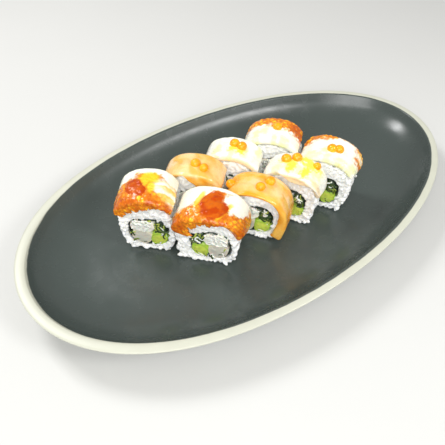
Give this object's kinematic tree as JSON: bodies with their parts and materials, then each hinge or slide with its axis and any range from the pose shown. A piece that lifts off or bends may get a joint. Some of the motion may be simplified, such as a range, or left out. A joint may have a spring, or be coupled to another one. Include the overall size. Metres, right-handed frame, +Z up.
{
  "type": "plate of uramaki rolls",
  "caption": "Uramaki sushi rolls in two staggered rows on an egg-shaped dark stoneware plate with a cream rim, each roll topped with a draped slice of grilled eel, salmon or white fish.",
  "frame": {"origin": "middle of the plate's flat foot, on the surface that the plate stands on", "axes": "+X along the plate's length towards its narrow end, +Z up, +Y across the plate towards the back row of rolls"},
  "size_m": [0.36, 0.2094, 0.0613],
  "materials": {
    "plate": "dark grey satin glaze with a cream lip and foot",
    "rice": "moist cooked sushi rice",
    "nori": "dark green-black pressed seaweed",
    "avocado": "soft yellow-green flesh",
    "greens": "thin dark green shoots",
    "cheese": "soft white cheese and crab",
    "prawn": "moist grey-beige cooked prawn",
    "eel": "grilled orange skin with a red-brown glaze, cream flesh behind",
    "salmon": "glossy orange flesh with pale fat lines",
    "whitefish": "glossy ivory flesh with yellow-green sauce streaks"
  },
  "bodies": {
    "root": {"plate": "plate", "front_1_rice": "rice", "front_1_nori": "nori", "front_1_avocado": "avocado", "front_1_prawn": "prawn", "front_1_greens": "greens", "front_1_cheese": "cheese", "front_1_eel": "eel", "front_2_rice": "rice", "front_2_nori": "nori", "front_2_avocado": "avocado", "front_2_prawn": "prawn", "front_2_greens": "greens", "front_2_cheese": "cheese", "front_2_salmon": "salmon", "front_3_rice": "rice", "front_3_nori": "nori", "front_3_avocado": "avocado", "front_3_prawn": "prawn", "front_3_greens": "greens", "front_3_cheese": "cheese", "front_3_whitefish": "whitefish", "front_4_rice": "rice", "front_4_nori": "nori", "front_4_avocado": "avocado", "front_4_prawn": "prawn", "front_4_greens": "greens", "front_4_cheese": "cheese", "front_4_eel": "eel", "back_1_rice": "rice", "back_1_nori": "nori", "back_1_avocado": "avocado", "back_1_prawn": "prawn", "back_1_greens": "greens", "back_1_cheese": "cheese", "back_1_eel": "eel", "back_2_rice": "rice", "back_2_nori": "nori", "back_2_avocado": "avocado", "back_2_prawn": "prawn", "back_2_greens": "greens", "back_2_cheese": "cheese", "back_2_salmon": "salmon", "back_3_rice": "rice", "back_3_nori": "nori", "back_3_avocado": "avocado", "back_3_prawn": "prawn", "back_3_greens": "greens", "back_3_cheese": "cheese", "back_3_whitefish": "whitefish", "back_4_rice": "rice", "back_4_nori": "nori", "back_4_avocado": "avocado", "back_4_prawn": "prawn", "back_4_greens": "greens", "back_4_cheese": "cheese", "back_4_eel": "eel"}
  },
  "joints": []
}
